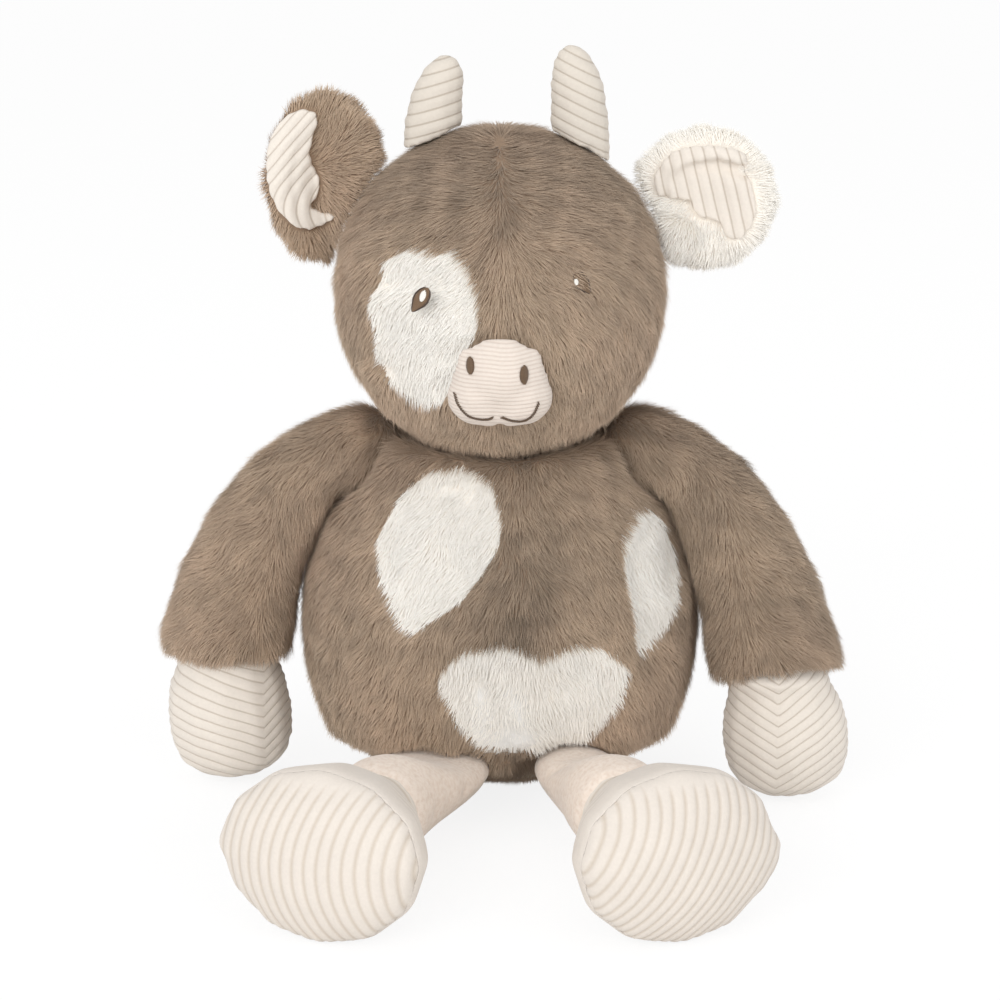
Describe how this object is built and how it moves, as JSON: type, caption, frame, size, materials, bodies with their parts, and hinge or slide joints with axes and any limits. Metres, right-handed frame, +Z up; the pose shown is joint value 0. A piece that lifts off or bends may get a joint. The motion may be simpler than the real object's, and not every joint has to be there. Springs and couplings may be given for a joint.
{
  "type": "plush cow",
  "caption": "Seated plush cow: soft fur head, arms and patched body, embroidered face, ribbed-cord horns, hands, feet and ear linings.",
  "frame": {"origin": "centre of the flat seat, on the surface the toy sits on", "axes": "+X to the toy's own left, -Y its front, +Z up"},
  "size_m": [0.2653, 0.2386, 0.288],
  "materials": {
    "taupe_fur": "matte long pile",
    "cream_fur": "matte long pile",
    "corduroy": "matte ribbed",
    "leg_cloth": "matte short pile",
    "muzzle_cloth": "matte fine ribs",
    "brown_thread": "satin stitched",
    "white_thread": "satin stitched",
    "fibre_fill": "matte loose fibre",
    "pouch_linen": "matte plain weave"
  },
  "bodies": {
    "torso": {"body_shell": "taupe_fur", "body_stuffing": "fibre_fill", "seat_pellet_pouch": "pouch_linen", "belly_patch_upper": "cream_fur", "belly_patch_lower": "cream_fur", "belly_patch_side": "cream_fur"},
    "head": {"head_shell": "taupe_fur", "eye_patch": "cream_fur", "head_stuffing": "fibre_fill", "muzzle_shell": "muzzle_cloth", "muzzle_stuffing": "fibre_fill", "right_eye": "brown_thread", "right_eye_glint": "white_thread", "right_nostril": "brown_thread", "left_eye": "brown_thread", "left_eye_glint": "white_thread", "left_nostril": "brown_thread", "mouth_stitching": "brown_thread", "right_horn_shell": "corduroy", "right_horn_stuffing": "fibre_fill", "left_horn_shell": "corduroy", "left_horn_stuffing": "fibre_fill"},
    "right_ear": {"right_ear_back": "taupe_fur", "right_ear_lining": "corduroy"},
    "left_ear": {"left_ear_back": "cream_fur", "left_ear_lining": "corduroy"},
    "right_arm": {"right_arm_sleeve": "taupe_fur", "right_arm_stuffing": "fibre_fill"},
    "left_arm": {"left_arm_sleeve": "taupe_fur", "left_arm_stuffing": "fibre_fill"},
    "right_hand": {"right_hand_shell": "corduroy", "right_hand_stuffing": "fibre_fill"},
    "left_hand": {"left_hand_shell": "corduroy", "left_hand_stuffing": "fibre_fill"},
    "right_leg": {"right_leg_shell": "leg_cloth", "right_leg_stuffing": "fibre_fill"},
    "left_leg": {"left_leg_shell": "leg_cloth", "left_leg_stuffing": "fibre_fill"},
    "right_foot": {"right_foot_upper": "corduroy", "right_foot_sole": "corduroy", "right_foot_stuffing": "fibre_fill"},
    "left_foot": {"left_foot_upper": "corduroy", "left_foot_sole": "corduroy", "left_foot_stuffing": "fibre_fill"}
  },
  "joints": [
    {"name": "head_turn", "type": "hinge", "parent": "torso", "child": "head", "pos_m": [0, -0.008, 0.131], "axis": [0, 0, 1], "range_deg": [-35, 35], "stiffness_Nm_per_rad": 0.3},
    {"name": "right_ear_flap", "type": "hinge", "parent": "head", "child": "right_ear", "pos_m": [-0.0475, -0.008, 0.2375], "axis": [0.6612, 0, 0.7502], "range_deg": [-25, 25], "stiffness_Nm_per_rad": 0.05},
    {"name": "left_ear_flap", "type": "hinge", "parent": "head", "child": "left_ear", "pos_m": [0.0535, -0.008, 0.2295], "axis": [-0.5361, 0, 0.8442], "range_deg": [-25, 25], "stiffness_Nm_per_rad": 0.05},
    {"name": "right_arm_raise", "type": "hinge", "parent": "torso", "child": "right_arm", "pos_m": [-0.054, 0, 0.133], "axis": [0, 1, 0], "range_deg": [0, 70]},
    {"name": "left_arm_raise", "type": "hinge", "parent": "torso", "child": "left_arm", "pos_m": [0.054, 0, 0.133], "axis": [0, -1, 0], "range_deg": [0, 70]},
    {"name": "right_wrist_bend", "type": "hinge", "parent": "right_arm", "child": "right_hand", "pos_m": [-0.107, -0.006, 0.058], "axis": [1, 0, 0], "range_deg": [-18, 10], "stiffness_Nm_per_rad": 0.1},
    {"name": "left_wrist_bend", "type": "hinge", "parent": "left_arm", "child": "left_hand", "pos_m": [0.106, -0.025, 0.053], "axis": [1, 0, 0], "range_deg": [-30, 4], "stiffness_Nm_per_rad": 0.1},
    {"name": "right_leg_swing", "type": "hinge", "parent": "torso", "child": "right_leg", "pos_m": [-0.027, -0.053, 0.025], "axis": [-1, 0, 0], "range_deg": [-50, 5]},
    {"name": "left_leg_swing", "type": "hinge", "parent": "torso", "child": "left_leg", "pos_m": [0.027, -0.053, 0.025], "axis": [-1, 0, 0], "range_deg": [-50, 5]},
    {"name": "right_ankle_bend", "type": "hinge", "parent": "right_leg", "child": "right_foot", "pos_m": [-0.044, -0.11, 0.027], "axis": [-0.9397, 0.3419, 0], "range_deg": [-15, 15], "stiffness_Nm_per_rad": 0.2},
    {"name": "left_ankle_bend", "type": "hinge", "parent": "left_leg", "child": "left_foot", "pos_m": [0.044, -0.11, 0.027], "axis": [-0.9397, -0.3419, 0], "range_deg": [-15, 15], "stiffness_Nm_per_rad": 0.2}
  ]
}
